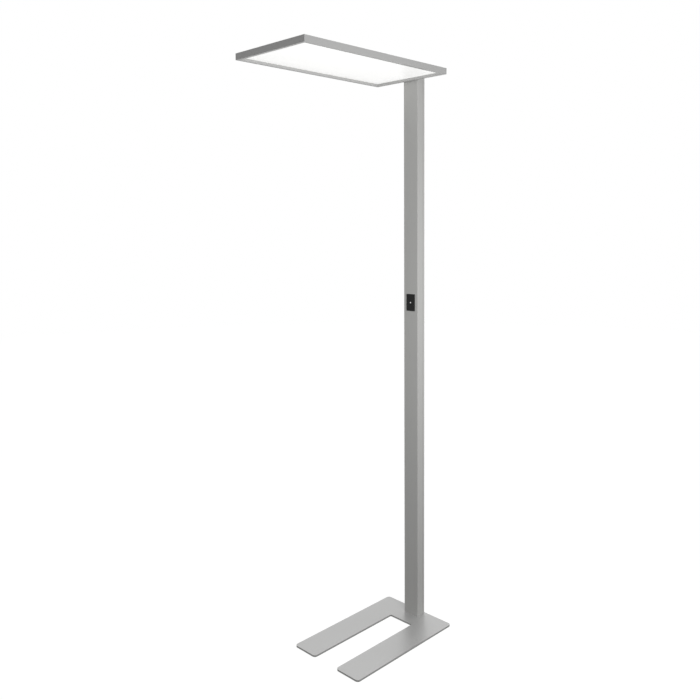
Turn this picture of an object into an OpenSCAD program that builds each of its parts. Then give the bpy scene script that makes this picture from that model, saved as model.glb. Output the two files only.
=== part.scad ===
// Office floor lamp: forked steel base, extruded aluminium column with a push-button
// panel, and a flat edge-lit head that reaches forward over the prongs of the base.
// Millimetres. +Z is up, +X is forward (the way the head reaches), +Y is the lamp's left.
// The origin is on the floor, under the middle of the lamp's overall length.

/* [Base] */
// Length of the base plate, back edge to prong tips
base_l = 477; // [400:1:560]
// Width of the base plate across both prongs
base_w = 298; // [220:1:360]
// Thickness of the steel base plate
base_t = 6; // [5:0.5:12]
// Radius of the outer corners of the base plate
base_corner_r = 11; // [4:1:20]
// Width of the slot between the prongs
slot_w = 100; // [60:1:130]
// Distance from the back edge to the closed end of the slot
slot_back = 99; // [80:1:200]
// Radius of the two inner corners of the slot
slot_r = 4; // [1:0.5:12]
// Diameter of a rubber pad under the base
pad_d = 22; // [12:1:30]
// Thickness of a rubber pad, which is the gap under the plate
pad_t = 1.5; // [1:0.5:4]
// Distance from the edges of the plate to the centre of a pad
pad_inset = 22; // [18:1:30]

/* [Column] */
// Width of the column, side to side
col_w = 63; // [58:1:80]
// Depth of the column, back to front
col_d = 38; // [37:1:50]
// Wall of the aluminium extrusion
col_wall = 2.5; // [2:0.1:3]
// Radius of the long edges of the column
col_edge_r = 1.5; // [0.5:0.1:2]
// Distance from the back edge of the base to the back of the column
col_inset = 6; // [4:1:20]
// Depth of the clip-on rear cover, up to the seam on the column's sides
cover_d = 8.8; // [7:0.1:9.5]
// Width of the open seam between the cover and the extrusion
seam_w = 0.8; // [0.4:0.1:1.2]
// Wall of the rear cover
rear_wall = 2; // [1.6:0.1:2.5]
// Width of the screw rib inside the front wall
rib_w = 14; // [12:0.5:18]
// Height of the screw rib above the front wall
rib_h = 3.5; // [3:0.1:4]
// How far the column's top stands above the head
col_rise = 10; // [8:1:30]
// Thickness of the top cap's plate
cap_t = 3; // [2:0.5:5]

/* [Foot] */
// Height of the block that plugs into the foot of the column
foot_h = 45; // [40:1:60]
// Thread diameter of the screws through the base plate
base_screw_d = 6; // [5:1:6]
// How far the base screws reach into the foot block
base_screw_grip = 15; // [10:1:20]
// Thread diameter of the screws that hold the block and the carrier in the column
lock_screw_d = 5; // [4:1:5]

/* [Cord gland] */
// Height of the cord gland above the top of the foot block
gland_rise = 22; // [16:1:60]
// Bore of the gland, for the mains cord
gland_bore_d = 8; // [6:0.5:10]
// Diameter of the gland's threaded body
gland_d = 16; // [14:0.5:18]
// Diameter of the gland's flange and nut
gland_flange_d = 22; // [20:0.5:24]
// Thickness of the gland's flange
gland_flange_t = 2.5; // [1.5:0.5:3.5]
// Length of the gland's body inside the column
gland_body_l = 12; // [8:0.5:14]

/* [Head] */
// Height of the head's underside above the floor
light_h = 1928; // [1750:1:2050]
// Length of the head, front to back
head_l = 632; // [500:1:800]
// Width of the head
head_w = 312; // [240:1:400]
// Height of the head's frame
head_h = 20; // [20:0.5:30]
// Outer wall of a frame rail
rail_wall = 2; // [1.5:0.1:2.5]
// Width of the border round the light
border_w = 10; // [9:0.5:18]
// Depth at which the diffuser lies behind the border
recess = 8.5; // [5:0.5:9]
// Wall of the hollow chamber in the border
chamber_wall = 1.5; // [1:0.1:1.6]
// Thickness of the opal diffuser
diffuser_t = 1.5; // [1:0.5:2.5]
// Thickness of the acrylic light guide
guide_t = 3; // [3:0.5:4]
// Thickness of the white reflector sheet
reflector_t = 0.5; // [0.3:0.1:0.6]
// Thickness of the top cover sheet
top_t = 1.5; // [1.5:0.1:2]
// Width of the ledge that carries the top cover
ledge_w = 6; // [6:0.5:9]
// Length of one leg of a corner key
key_leg = 40; // [25:1:60]

/* [Light strips] */
// Thickness of a strip's circuit board
strip_t = 1.6; // [1:0.1:1.8]
// Height of a strip's circuit board
strip_h = 7; // [6:0.5:8]
// Distance between light chips along a strip
chip_pitch = 18; // [12:1:40]
// Length of a light chip along its strip
chip_l = 3.5; // [2:0.5:5]
// Depth of a light chip
chip_t = 0.8; // [0.5:0.1:1]
// Height of a light chip
chip_h = 3; // [2:0.5:3]

/* [Carrier] */
// Width of one carrier arm
arm_w = 18; // [12:1:18]
// Thickness of the carrier's steel
arm_t = 3; // [3:0.5:4]
// How far the arms reach into the head
arm_reach = 190; // [120:1:300]
// Distance between the two arms
arm_gap = 16; // [14:1:18]
// Height of the carrier's plate below the arms
carrier_h = 110; // [90:1:160]

/* [Control panel] */
// Height of the panel's centre above the floor
panel_z = 1156; // [900:1:1400]
// Width of the black panel
panel_w = 38; // [37:1:44]
// Height of the black panel
panel_h = 60; // [57:1:80]
// How far the panel stands out of the column
panel_t = 1.2; // [0.8:0.1:3]
// Width of the box behind the panel
box_w = 33.6; // [30:0.1:34]
// Height of the box behind the panel
box_h = 51.6; // [48:0.1:54]
// Depth of the box behind the panel
box_d = 15; // [14:0.1:16]
// Diameter of the push button
button_d = 14; // [10:0.5:16]
// How far the button stands out of the panel
button_proud = 0.3; // [0.1:0.1:1]
// Travel of the button
button_travel = 0.8; // [0.4:0.1:1]
// Diameter of the light dot in the button
dot_d = 5; // [3:0.5:6]

/* [Driver] */
// Length of the driver's case
driver_l = 360; // [240:5:500]
// Width of the driver's case
driver_w = 30; // [28:1:32]
// Depth of the driver's case
driver_d = 19; // [16:1:20]
// Thickness of the driver's tray
tray_t = 1.5; // [1:0.1:2]
// Width of the driver's tray
tray_w = 40; // [36:1:44]

/* [Hidden] */
$fn = 48;

// A cut starts or ends this far outside the solid that it cuts
over = 1;
// Gap all round between a part and the pocket that it fits
fit_clear = 0.2;
// Gap all round between a thread and its hole
thread_clear = 0.1;

// Plan positions along X
overall_l = max(base_l, col_inset + col_d + head_l);
base_x0 = -overall_l / 2;
base_x1 = base_x0 + base_l;
col_x0 = base_x0 + col_inset;
col_x1 = col_x0 + col_d;
head_x0 = col_x1;
head_x1 = head_x0 + head_l;

// Heights
base_z0 = pad_t;
base_z1 = base_z0 + base_t;
head_z0 = light_h;
head_z1 = head_z0 + head_h;
col_z1 = head_z1 + col_rise;
profile_z1 = col_z1 - cap_t;
profile_l = profile_z1 - base_z1;

// Column section
wall_in_y = col_w / 2 - col_wall;
front_in_x = col_x1 - col_wall;
rib_x = front_in_x - rib_h;
seam_x = col_x0 + cover_d;
side_x = seam_x + seam_w;
lip_w = 4;
lip_edge_y = wall_in_y - lip_w;
clip_t = 2;
clip_hook = 2;
clip_y = lip_edge_y - fit_clear - clip_t;
clip_x1 = side_x + col_wall + fit_clear + clip_hook;

// Foot block
foot_front_w = 2 * (wall_in_y - fit_clear);
foot_rear_w = 2 * (clip_y - fit_clear);
foot_x0 = col_x0 + rear_wall + fit_clear;
foot_mid_x = clip_x1 + fit_clear;
foot_z1 = base_z1 + foot_h;
base_screw_back = 8;
base_screw_front = 7;
base_screw_x = [foot_x0 + base_screw_back, rib_x - base_screw_front];
base_screw_y = 16;
lock_seat = pan_head_h(lock_screw_d) + fit_clear;
blind_wall = 1;
lock_tip_x = col_x1 - blind_wall;
lock_first = 28;
lock_pitch = 10;
foot_lock_z = [for (i = [0 : 1]) base_z1 + lock_first + i * lock_pitch];

// Cord gland
gland_z = foot_z1 + gland_rise;
gland_nut_t = 4;

// Tray and what it carries
tray_x1 = rib_x;
tray_x0 = tray_x1 - tray_t;
tray_rise = 25;
tray_z0 = gland_z + tray_rise;
terminal_size = [16, 28, 30];
terminal_rise = 14;
terminal_z0 = tray_z0 + terminal_rise;
wire_hole_l = 10;
wire_hole_r = 2.2;
wire_run = 50;
driver_z0 = terminal_z0 + terminal_size.z + wire_run;
driver_z1 = driver_z0 + driver_l;
ear_l = 10;
ear_t = 2;
tray_spare = 30;
tray_z1 = driver_z1 + tray_spare;
small_screw_d = 3;
tip_gap = 0.5;
tray_screw_end = 7;
tray_screw_z = [tray_z0 + tray_screw_end, tray_z1 - tray_screw_end];
terminal_screw_z = terminal_z0 + terminal_size.z / 2;
ear_screw_z = [driver_z0 - ear_l / 2, driver_z1 + ear_l / 2];

// Carrier: two arms on a plate behind the screw rib
arm_z1 = head_z1 - top_t;
arm_z0 = arm_z1 - arm_t;
arm_y = arm_gap / 2 + arm_w / 2;
plate_x0 = rib_x - arm_t;
plate_w = arm_gap + 2 * arm_w;
plate_z0 = arm_z0 - carrier_h;
carrier_screw_end = 15;
carrier_screw_pitch = 35;
carrier_screw_z = [for (i = [0 : 2]) plate_z0 + carrier_screw_end + i * carrier_screw_pitch];

// Cable from the driver to the head
cable_r = 1.8;
cable_bend = 12;
cable_x = plate_x0 - cable_bend;
guide_z0 = head_z0 + recess + diffuser_t;
reflector_z0 = guide_z0 + guide_t;
stack_z1 = reflector_z0 + reflector_t;
connector_size = [20, 14, 4];
connector_past = 5;
connector_x0 = head_x0 + arm_reach + connector_past;
strip_wire_x = connector_x0 + connector_size.x / 2;
cable_z = stack_z1 + connector_size.z / 2;
grommet_wall = 1;
grommet_r = cable_r + fit_clear + grommet_wall;
grommet_hole_r = grommet_r + thread_clear;
grommet_x1 = head_x0 + rail_wall;

// Head: the light guide stops short of the strips' chips
chip_gap = 0.4;
guide_in = rail_wall + strip_t + chip_t + chip_gap;
strip_end = 2 * border_w;
strip_l = head_l - 2 * strip_end;
strip_z0 = head_z0 + recess + fit_clear;
chip_z = guide_z0 + guide_t / 2;
chips = floor((strip_l - chip_l) / chip_pitch);
key_w = border_w - rail_wall - chamber_wall - 2 * fit_clear;
key_t = recess - 2 * chamber_wall - 2 * fit_clear;
key_mid = rail_wall + fit_clear + key_w / 2;
ledge_t = 1.5;
cover_screw_edge = 0.3;
cover_screw_in = rail_wall + fit_clear + small_screw_d + thread_clear + cover_screw_edge;
cover_screw_cols = 4;
cover_screw_end = 45;
cover_screw_past = 1;
arm_screw_first = 30;
arm_screw_end = 12;
arm_screw_pitch = (arm_reach - arm_screw_first - arm_screw_end) / 2;
arm_screw_x = [for (i = [0 : 2]) head_x0 + arm_screw_first + i * arm_screw_pitch];
foam_size = [60, 40];
foam_end = 60;
foam_x = [head_x0 + foam_end, (strip_wire_x + head_x1) / 2, head_x1 - foam_end];

// Control panel
panel_corner_r = 1.5;
box_wall = 1.4;
box_x1 = col_x1;
box_x0 = box_x1 - box_d;
box_front_x = box_x1 - box_wall;
board_t = 1.6;
board_in = 5.6;
board_x1 = box_x0 + board_in;
board_x0 = board_x1 - board_t;
board_w = box_w - 2 * box_wall - 2 * fit_clear;
board_h = box_h - 2 * box_wall - 2 * fit_clear;
post_r = 2;
post_in = 0.6;
post_y = board_w / 2 - post_r - post_in;
post_z = board_h / 2 - post_r - post_in;
post_hole_l = 5;
board_screw_d = 2;
board_screw_grip = 4;
hook_h = 12;
hook_out = 1.5;
hook_t = 1.8;
switch_w = 6;
switch_t = 3.4;
plunger_r = 1.75;
plunger_t = 0.9;
switch_tip_x = board_x1 + switch_t + plunger_t;
stem_stop = 0.1;
flange_t = 1.2;
flange_out = 1.6;
flange_r = button_d / 2 + flange_out;
flange_x1 = box_front_x - fit_clear;
flange_x0 = flange_x1 - flange_t;
button_x1 = col_x1 + panel_t + button_proud;
button_r = button_d / 2;
button_hole_r = button_r + fit_clear;
dot_l = 3;
spring_wire_r = 0.3;
spring_r = 5.3;
spring_turns = 5;
spring_seat = 0.05;
plug_size = [6, 8, 6];
plug_y = 8;
plug_rise = 6;
plug_z0 = panel_z - board_h / 2 + plug_rise;
wire_r = 1.2;
strip_wire_r = 0.8;
control_wire_r = 1.4;
control_wire_x = board_x0 - plug_size.x / 2;

// Box between two corners
module block(lo, hi) {
    translate(lo)
        cube(hi - lo);
}

// Box on the floor of z0, with rounded corners in plan
module rounded_plate(x0, x1, w, z0, z1, r) {
    translate([0, 0, z0])
        linear_extrude(z1 - z0)
            rounded_rect(x0, x1, w, r);
}

// Rectangle from x0 to x1, centred on Y, with rounded corners
module rounded_rect(x0, x1, w, r) {
    difference() {
        translate([x0, -w / 2])
            square([x1 - x0, w]);
        for (sx = [0, 1], sy = [-1, 1])
            translate([sx == 0 ? x0 : x1, sy * w / 2])
                corner_waste(sx == 0 ? 1 : -1, -sy, r);
    }
}

// What a round of radius r removes from a square corner at the origin; dx and dy point inwards
module corner_waste(dx, dy, r) {
    difference() {
        translate([dx > 0 ? -over : -r, dy > 0 ? -over : -r])
            square(r + over);
        translate([dx * r, dy * r])
            circle(r);
    }
}

// Cylinder along +X from x0 to x1
module rod_x(x0, x1, y, z, r) {
    translate([x0, y, z])
        rotate([0, 90, 0])
            cylinder(h = x1 - x0, r = r);
}

// Countersunk screw along -Z, its head's top at the origin
module countersunk_screw(d, l) {
    translate([0, 0, -d / 2])
        cylinder(h = d / 2, r1 = d / 2, r2 = d);
    translate([0, 0, -l])
        cylinder(h = l - d / 2, r = d / 2);
}

// Hole for a countersunk screw, with the same clearance all round
module countersunk_hole(d, l, clear) {
    translate([0, 0, -d / 2])
        cylinder(h = d / 2, r1 = d / 2 + clear, r2 = d + clear);
    translate([0, 0, -l])
        cylinder(h = l, r = d / 2 + clear);
    translate([0, 0, -clear])
        cylinder(h = over, r = d + clear);
}

// Radius and height of the head of a pan-head screw of thread diameter d
function pan_head_r(d) = 0.85 * d;
function pan_head_h(d) = 0.6 * d;

// Pan-head screw along +X: head behind x, shank from x to the tip
module pan_screw_x(x, tip_x, y, z, d) {
    rod_x(x - pan_head_h(d), x, y, z, pan_head_r(d));
    rod_x(x, tip_x, y, z, d / 2);
}

// ---- Base -------------------------------------------------------------------

module base_plate() {
    color([0.72, 0.72, 0.71])
    difference() {
        translate([0, 0, base_z0])
            linear_extrude(base_t)
                difference() {
                    rounded_rect(base_x0, base_x1, base_w, base_corner_r);
                    rounded_rect(base_x0 + slot_back, base_x1 + base_l, slot_w, slot_r);
                    for (s = [-1, 1])
                        translate([base_x1, s * slot_w / 2])
                            corner_waste(-1, s, base_corner_r);
                }
        for (x = base_screw_x, s = [-1, 1])
            translate([x, s * base_screw_y, base_z0])
                mirror([0, 0, 1])
                    countersunk_hole(base_screw_d, base_t + over, 2 * fit_clear);
    }
}

module base_pads() {
    pad_x = [base_x0 + pad_inset, (base_x0 + base_x1) / 2, base_x1 - pad_inset];
    color([0.12, 0.12, 0.12])
    for (x = pad_x, s = [-1, 1])
        translate([x, s * (base_w / 2 - pad_inset), 0])
            cylinder(h = pad_t, r = pad_d / 2);
}

module base_screws() {
    color([0.55, 0.55, 0.56])
    for (x = base_screw_x, s = [-1, 1])
        translate([x, s * base_screw_y, base_z0 + fit_clear])
            mirror([0, 0, 1])
                countersunk_screw(base_screw_d, base_t + base_screw_grip);
}

// ---- Column -----------------------------------------------------------------

module foot_block() {
    color([0.6, 0.6, 0.62])
    difference() {
        union() {
            block([foot_mid_x, -foot_front_w / 2, base_z1], [rib_x, foot_front_w / 2, foot_z1]);
            block([foot_x0, -foot_rear_w / 2, base_z1], [foot_mid_x + over, foot_rear_w / 2, foot_z1]);
        }
        for (x = base_screw_x, s = [-1, 1])
            translate([x, s * base_screw_y, base_z1 - over])
                cylinder(h = base_screw_grip + 2 * over, r = base_screw_d / 2 + thread_clear);
        for (z = foot_lock_z) {
            rod_x(foot_x0 - over, rib_x + over, 0, z, lock_screw_d / 2 + thread_clear);
            rod_x(foot_x0 - over, foot_x0 + lock_seat, 0, z, pan_head_r(lock_screw_d) + fit_clear);
        }
    }
}

module foot_lock_screws() {
    color([0.5, 0.5, 0.52])
    for (z = foot_lock_z)
        pan_screw_x(foot_x0 + lock_seat, lock_tip_x, 0, z, lock_screw_d);
}

// Open-backed section: front wall with a screw rib, two sides, and a lip on each
module column_section() {
    difference() {
        rounded_rect(col_x0, col_x1, col_w, col_edge_r);
        translate([col_x0 - over, -col_w])
            square([cover_d + seam_w + over, 2 * col_w]);
        translate([side_x + col_wall, -wall_in_y])
            square([front_in_x - side_x - col_wall, 2 * wall_in_y]);
        translate([side_x - over, -lip_edge_y])
            square([col_wall + 2 * over, 2 * lip_edge_y]);
    }
    translate([rib_x, -rib_w / 2])
        square([rib_h + over, rib_w]);
}

module column_profile() {
    color([0.70, 0.70, 0.69])
    difference() {
        translate([0, 0, base_z1])
            linear_extrude(profile_l)
                column_section();
        block([rib_x - over, -box_w / 2 - fit_clear, panel_z - box_h / 2 - fit_clear],
            [col_x1 + over, box_w / 2 + fit_clear, panel_z + box_h / 2 + fit_clear]);
        for (s = [-1, 1])
            arm_window(s, col_x1 + over);
        rod_x(rib_x - over, col_x1 + over, 0, cable_z, grommet_hole_r);
        for (z = concat(foot_lock_z, carrier_screw_z))
            rod_x(rib_x - over, lock_tip_x + thread_clear, 0, z, lock_screw_d / 2 + thread_clear);
        for (z = tray_screw_z)
            rod_x(rib_x - over, front_in_x, 0, z, small_screw_d / 2 + thread_clear);
    }
}

// Opening for one carrier arm, from inside the column up to x1
module arm_window(s, x1) {
    block([rib_x - over, s * arm_y - arm_w / 2 - fit_clear, arm_z0 - fit_clear],
        [x1, s * arm_y + arm_w / 2 + fit_clear, arm_z1 + fit_clear]);
}

// Shallow channel that closes the column's back, with two clips behind the lips
module rear_cover_section() {
    difference() {
        rounded_rect(col_x0, col_x1, col_w, col_edge_r);
        translate([seam_x, -col_w])
            square([col_d, 2 * col_w]);
        translate([col_x0 + rear_wall, -col_w / 2 + rear_wall])
            square([cover_d, col_w - 2 * rear_wall]);
    }
    for (s = [-1, 1]) {
        side_strip(col_x0 + rear_wall - over, clip_x1, clip_y, clip_y + clip_t, s);
        side_strip(clip_x1 - clip_hook, clip_x1, clip_y, clip_y + clip_t + clip_hook, s);
    }
}

// Rectangle in plan from x0 to x1 and y0 to y1, on the side of the middle that s gives
module side_strip(x0, x1, y0, y1, s) {
    translate([x0, s > 0 ? y0 : -y1])
        square([x1 - x0, y1 - y0]);
}

module rear_cover() {
    color([0.70, 0.70, 0.69])
    difference() {
        translate([0, 0, base_z1])
            linear_extrude(profile_l)
                rear_cover_section();
        rod_x(col_x0 - over, col_x0 + rear_wall + over, 0, gland_z, gland_d / 2 + fit_clear);
    }
}

module column_cap() {
    leg_l = 7;
    leg_t = 2;
    leg_y = wall_in_y - fit_clear;
    color([0.68, 0.68, 0.67]) {
        rounded_plate(col_x0, col_x1, col_w, profile_z1, col_z1, col_edge_r);
        translate([0, 0, profile_z1 - leg_l])
            linear_extrude(leg_l + cap_t / 2)
                for (s = [-1, 1])
                    side_strip(clip_x1 + fit_clear, plate_x0 - fit_clear, leg_y - leg_t, leg_y, s);
    }
}

module cable_gland() {
    color([0.1, 0.1, 0.1])
    difference() {
        union() {
            rod_x(col_x0 - gland_flange_t, col_x0, 0, gland_z, gland_flange_d / 2);
            rod_x(col_x0 - gland_flange_t, col_x0 + gland_body_l, 0, gland_z, gland_d / 2);
        }
        rod_x(col_x0 - gland_flange_t - over, col_x0 + gland_body_l + over, 0, gland_z,
            gland_bore_d / 2);
    }
}

module gland_nut() {
    nut_x0 = col_x0 + rear_wall;
    color([0.1, 0.1, 0.1])
    difference() {
        rod_x(nut_x0, nut_x0 + gland_nut_t, 0, gland_z, gland_flange_d / 2);
        rod_x(nut_x0 - over, nut_x0 + gland_nut_t + over, 0, gland_z, gland_d / 2 + thread_clear);
    }
}

// ---- Mains and driver ---------------------------------------------------------

module driver_tray() {
    color([0.65, 0.65, 0.66])
    difference() {
        block([tray_x0, -tray_w / 2, tray_z0], [tray_x1, tray_w / 2, tray_z1]);
        for (z = concat(tray_screw_z, [terminal_screw_z], ear_screw_z))
            rod_x(tray_x0 - over, tray_x1 + over, 0, z, small_screw_d / 2 + thread_clear);
    }
}

module tray_screws() {
    color([0.5, 0.5, 0.52])
    for (z = tray_screw_z)
        pan_screw_x(tray_x0, front_in_x - tip_gap, 0, z, small_screw_d);
}

module terminal_block() {
    color([0.85, 0.84, 0.8])
    difference() {
        block([tray_x0 - terminal_size.x, -terminal_size.y / 2, terminal_z0],
            [tray_x0, terminal_size.y / 2, terminal_z0 + terminal_size.z]);
        rod_x(tray_x0 - terminal_size.x - over, tray_x0 + over, 0, terminal_screw_z,
            small_screw_d / 2 + thread_clear);
        for (s = [-1, 0, 1])
            translate([tray_x0 - terminal_size.x / 2, s * terminal_size.y / 3, terminal_z0 - over])
                cylinder(h = wire_hole_l, r = wire_hole_r);
    }
}

module terminal_screw() {
    color([0.5, 0.5, 0.52])
        pan_screw_x(tray_x0 - terminal_size.x, tray_x1, 0, terminal_screw_z, small_screw_d);
}

module led_driver() {
    color([0.9, 0.9, 0.88])
    difference() {
        union() {
            block([tray_x0 - driver_d, -driver_w / 2, driver_z0], [tray_x0, driver_w / 2, driver_z1]);
            block([tray_x0 - ear_t, -driver_w / 2, driver_z0 - ear_l],
                [tray_x0, driver_w / 2, driver_z1 + ear_l]);
        }
        for (z = ear_screw_z)
            rod_x(tray_x0 - ear_t - over, tray_x0 + over, 0, z, small_screw_d / 2 + thread_clear);
    }
}

module driver_screws() {
    color([0.5, 0.5, 0.52])
    for (z = ear_screw_z)
        pan_screw_x(tray_x0 - ear_t, tray_x1, 0, z, small_screw_d);
}

module mains_wires() {
    color([0.25, 0.35, 0.6])
    for (s = [-1, 0, 1])
        translate([tray_x0 - terminal_size.x / 2, s * terminal_size.y / 3, terminal_z0 + terminal_size.z])
            cylinder(h = wire_run, r = wire_r);
}

// Up the column, round a quarter bend and forward into the head's connector
module head_cable() {
    color([0.15, 0.15, 0.15]) {
        translate([cable_x, 0, driver_z1])
            cylinder(h = cable_z - cable_bend - driver_z1, r = cable_r);
        translate([cable_x + cable_bend, 0, cable_z - cable_bend])
            rotate([90, 0, 0])
                rotate_extrude(angle = 90, start = 90)
                    translate([cable_bend, 0])
                        circle(cable_r);
        rod_x(cable_x + cable_bend, connector_x0, 0, cable_z, cable_r);
    }
}

// From the driver up through a notch in the control box's floor to the board's plug
module control_wires() {
    color([0.2, 0.2, 0.2])
        translate([control_wire_x, plug_y, driver_z1])
            cylinder(h = plug_z0 - driver_z1, r = control_wire_r);
}

// ---- Control panel --------------------------------------------------------------

module control_panel() {
    color([0.03, 0.03, 0.03])
    difference() {
        translate([col_x1, 0, panel_z])
            rotate([0, 90, 0])
                linear_extrude(panel_t)
                    rounded_rect(-panel_h / 2, panel_h / 2, panel_w, panel_corner_r);
        rod_x(col_x1 - over, col_x1 + panel_t + over, 0, panel_z, button_hole_r);
    }
}

module control_box() {
    color([0.08, 0.08, 0.08])
    difference() {
        union() {
            difference() {
                block([box_x0, -box_w / 2, panel_z - box_h / 2], [box_x1, box_w / 2, panel_z + box_h / 2]);
                block([box_x0 - over, -box_w / 2 + box_wall, panel_z - box_h / 2 + box_wall],
                    [box_front_x, box_w / 2 - box_wall, panel_z + box_h / 2 - box_wall]);
            }
            for (sy = [-1, 1], sz = [-1, 1])
                rod_x(board_x1, box_front_x + over / 2, sy * post_y, panel_z + sz * post_z, post_r);
            for (s = [-1, 1])
                block([front_in_x - fit_clear - hook_t, s * box_w / 2 - hook_out, panel_z - hook_h / 2],
                    [front_in_x - fit_clear, s * box_w / 2 + hook_out, panel_z + hook_h / 2]);
        }
        rod_x(box_front_x - over, box_x1 + over, 0, panel_z, button_hole_r);
        for (sy = [-1, 1], sz = [-1, 1])
            rod_x(board_x1 - over, board_x1 + post_hole_l, sy * post_y, panel_z + sz * post_z,
                board_screw_d / 2 + thread_clear);
        control_wire_notch();
    }
}

// Notch in the floor of the control box, open to its back
module control_wire_notch() {
    half = control_wire_r + fit_clear;
    floor_z = panel_z - box_h / 2;
    block([box_x0 - over, plug_y - half, floor_z - over],
        [control_wire_x + half, plug_y + half, floor_z + box_wall + over]);
}

module control_board() {
    color([0.1, 0.35, 0.2])
    difference() {
        block([board_x0, -board_w / 2, panel_z - board_h / 2],
            [board_x1, board_w / 2, panel_z + board_h / 2]);
        for (sy = [-1, 1], sz = [-1, 1])
            rod_x(board_x0 - over, board_x1 + over, sy * post_y, panel_z + sz * post_z,
                board_screw_d / 2 + thread_clear);
    }
}

module board_screws() {
    color([0.5, 0.5, 0.52])
    for (sy = [-1, 1], sz = [-1, 1])
        pan_screw_x(board_x0, board_x1 + board_screw_grip, sy * post_y, panel_z + sz * post_z,
            board_screw_d);
}

module board_plug() {
    color([0.9, 0.9, 0.86])
        block([board_x0 - plug_size.x, plug_y - plug_size.y / 2, plug_z0],
            [board_x0, plug_y + plug_size.y / 2, plug_z0 + plug_size.z]);
}

module tact_switch() {
    color([0.15, 0.15, 0.16]) {
        block([board_x1, -switch_w / 2, panel_z - switch_w / 2],
            [board_x1 + switch_t, switch_w / 2, panel_z + switch_w / 2]);
        rod_x(board_x1 + switch_t - over, switch_tip_x, 0, panel_z, plunger_r);
    }
}

module push_button() {
    color([0.03, 0.03, 0.03])
    difference() {
        union() {
            rod_x(flange_x0, button_x1, 0, panel_z, button_r);
            rod_x(flange_x0, flange_x1, 0, panel_z, flange_r);
            rod_x(switch_tip_x + button_travel + stem_stop, flange_x1, 0, panel_z, plunger_r);
        }
        rod_x(button_x1 - dot_l - thread_clear, button_x1 + over, 0, panel_z, dot_d / 2 + thread_clear);
    }
}

module indicator_dot() {
    color([0.92, 0.92, 0.92])
        rod_x(button_x1 - dot_l, button_x1, 0, panel_z, dot_d / 2);
}

// Compression spring between the board and the button's flange: one swept wire
module button_spring() {
    rings_a_turn = 16;
    sides = 6;
    rings = spring_turns * rings_a_turn;
    x_lo = board_x1 + spring_wire_r + spring_seat;
    x_hi = flange_x0 - spring_wire_r - spring_seat;
    function centre(i) = [
        x_lo + (x_hi - x_lo) * i / rings,
        spring_r * cos(360 * i / rings_a_turn),
        panel_z + spring_r * sin(360 * i / rings_a_turn)
    ];
    function radial(i) = [0, cos(360 * i / rings_a_turn), sin(360 * i / rings_a_turn)];
    points = [
        for (i = [0 : rings], k = [0 : sides - 1])
            centre(i) + spring_wire_r * (cos(360 * k / sides) * radial(i) + [sin(360 * k / sides), 0, 0])
    ];
    walls = [
        for (i = [0 : rings - 1], k = [0 : sides - 1])
            let (a = i * sides + k, b = i * sides + (k + 1) % sides)
                each [[a, b, b + sides], [a, b + sides, a + sides]]
    ];
    ends = [
        [for (k = [sides - 1 : -1 : 0]) k],
        [for (k = [0 : sides - 1]) rings * sides + k]
    ];
    color([0.75, 0.75, 0.76])
        polyhedron(points, concat(walls, ends), convexity = 10);
}

// ---- Head carrier -----------------------------------------------------------------

// Two arms on a plate, with a slot between them that the cable drops into
module head_carrier() {
    color([0.55, 0.55, 0.57])
    difference() {
        union() {
            block([plate_x0, -plate_w / 2, plate_z0], [rib_x, plate_w / 2, arm_z1]);
            for (s = [-1, 1])
                block([rib_x - over, s * arm_y - arm_w / 2, arm_z0],
                    [head_x0 + arm_reach, s * arm_y + arm_w / 2, arm_z1]);
        }
        rod_x(plate_x0 - over, rib_x + over, 0, cable_z, grommet_hole_r);
        block([plate_x0 - over, -grommet_hole_r, cable_z], [rib_x + over, grommet_hole_r, arm_z1 + over]);
        for (z = carrier_screw_z)
            rod_x(plate_x0 - over, rib_x + over, 0, z, lock_screw_d / 2 + thread_clear);
        for (x = arm_screw_x, s = [-1, 1])
            translate([x, s * arm_y, head_z1])
                countersunk_hole(small_screw_d, head_z1 - arm_z0 + over, thread_clear);
    }
}

module carrier_screws() {
    color([0.5, 0.5, 0.52])
    for (z = carrier_screw_z)
        pan_screw_x(plate_x0, lock_tip_x, 0, z, lock_screw_d);
}

module cable_grommet() {
    color([0.1, 0.1, 0.1])
    difference() {
        rod_x(plate_x0, grommet_x1, 0, cable_z, grommet_r);
        rod_x(plate_x0 - over, grommet_x1 + over, 0, cable_z, cable_r + fit_clear);
    }
}

// ---- Head frame ---------------------------------------------------------------------

// Section of a rail: x runs inwards from the outer face, y up from the underside
module rail_section() {
    difference() {
        union() {
            square([rail_wall, head_h]);
            square([border_w, recess]);
            translate([0, head_h - top_t - ledge_t])
                square([rail_wall + ledge_w, ledge_t]);
        }
        translate([rail_wall, chamber_wall])
            square([border_w - rail_wall - chamber_wall, recess - 2 * chamber_wall]);
    }
}

// Rail of length l along +X, outer face on y = 0, mitred at both ends
module rail(l) {
    intersection() {
        rotate([90, 0, 90])
            linear_extrude(l)
                rail_section();
        linear_extrude(head_h)
            polygon([[0, 0], [l, 0], [l - border_w, border_w], [border_w, border_w]]);
    }
}

// Holes in the rails' ledges for the cover screws
module cover_screw_holes() {
    for (p = cover_screw_at())
        translate([p.x, p.y, head_z1])
            countersunk_hole(small_screw_d, head_h / 2, thread_clear);
}

function cover_screw_at() = concat(
    [for (i = [0 : cover_screw_cols - 1], s = [-1, 1]) [
        head_x0 + cover_screw_end + (head_l - 2 * cover_screw_end) * i / (cover_screw_cols - 1),
        s * (head_w / 2 - cover_screw_in)
    ]],
    [for (x = [head_x0 + cover_screw_in, head_x1 - cover_screw_in], s = [-1, 1]) [x, s * head_w / 4]]
);

module rail_right() {
    color([0.72, 0.72, 0.71])
    difference() {
        translate([head_x0, -head_w / 2, head_z0])
            rail(head_l);
        cover_screw_holes();
    }
}

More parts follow.
